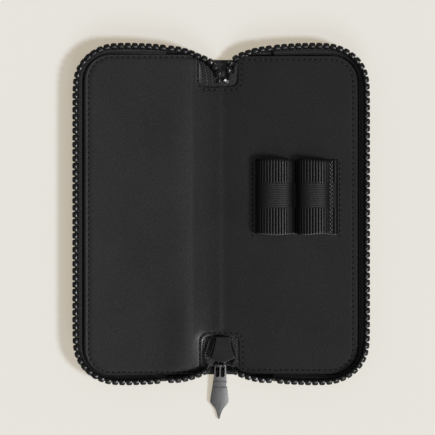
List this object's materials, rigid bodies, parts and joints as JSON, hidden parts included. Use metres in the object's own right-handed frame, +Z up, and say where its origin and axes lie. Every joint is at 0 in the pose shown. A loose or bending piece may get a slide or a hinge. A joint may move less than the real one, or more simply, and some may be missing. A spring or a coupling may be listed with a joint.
{
  "type": "fountain pen case",
  "caption": "Zip-around leather case lying open like a book, with a smooth lining, woven elastic pen loops on one half and a nib-shaped zip puller at the end of its spine.",
  "frame": {"origin": "centre of the spine's underside, on the surface that the open case lies on", "axes": "+X across the open case to the half with the pen loops, +Y along the spine away from the zip slider, +Z up, out of the lining"},
  "size_m": [0.1446, 0.1822, 0.0131],
  "materials": {
    "outer_leather": "fine-grained black calf leather, satin",
    "lining_leather": "smooth black nappa leather, soft sheen",
    "stiffener": "matte pressed board",
    "padding_foam": "matte thin foam",
    "zip_tape": "black herringbone woven tape",
    "zip_teeth": "black moulded plastic, half gloss",
    "stop_steel": "bright pressed steel",
    "elastic": "black ribbed woven elastic",
    "slider_enamel": "satin black enamel",
    "puller_metal": "dark plated metal, fine brushing"
  },
  "bodies": {
    "spine": {"spine_cover": "outer_leather", "spine_board": "stiffener", "spine_padding": "padding_foam", "spine_lining": "lining_leather", "tape_end_bottom": "zip_tape", "bottom_stop": "stop_steel", "top_stop_left": "stop_steel", "top_stop_right": "stop_steel", "gusset_tape_top_left": "zip_tape", "gusset_tape_top_right": "zip_tape", "gusset_tape_bottom_left": "zip_tape", "gusset_tape_bottom_right": "zip_tape", "gusset_teeth_top_left": "zip_teeth", "gusset_teeth_top_right": "zip_teeth", "gusset_teeth_bottom_left": "zip_teeth", "gusset_teeth_bottom_right": "zip_teeth"},
    "left_half": {"cover_left": "outer_leather", "board_left": "stiffener", "padding_left": "padding_foam", "lining_left": "lining_leather", "tape_left": "zip_tape", "teeth_left": "zip_teeth"},
    "right_half": {"cover_right": "outer_leather", "board_right": "stiffener", "padding_right": "padding_foam", "lining_right": "lining_leather", "tape_right": "zip_tape", "teeth_right": "zip_teeth", "pen_loop_band": "elastic"},
    "slider": {"slider_body": "slider_enamel"},
    "puller": {"puller": "puller_metal"}
  },
  "joints": [
    {"name": "left_fold", "type": "hinge", "parent": "spine", "child": "left_half", "pos_m": [-0.011, 0, 0.0006], "axis": [0, 1, 0], "range_deg": [0, 90], "deforming": ["gusset_tape_top_left", "gusset_tape_bottom_left", "gusset_teeth_top_left", "gusset_teeth_bottom_left"]},
    {"name": "right_fold", "type": "hinge", "parent": "spine", "child": "right_half", "pos_m": [0.011, 0, 0.0006], "axis": [0, -1, 0], "range_deg": [0, 90], "deforming": ["gusset_tape_top_right", "gusset_tape_bottom_right", "gusset_teeth_top_right", "gusset_teeth_bottom_right"]},
    {"name": "slider_travel", "type": "slide", "parent": "spine", "child": "slider", "axis": [0, -1, 0], "range_m": [0, 0.004]},
    {"name": "puller_swing", "type": "hinge", "parent": "slider", "child": "puller", "pos_m": [0.0002, -0.0733, 0.0038], "axis": [-1, 0, 0], "range_deg": [-10, 42]}
  ]
}
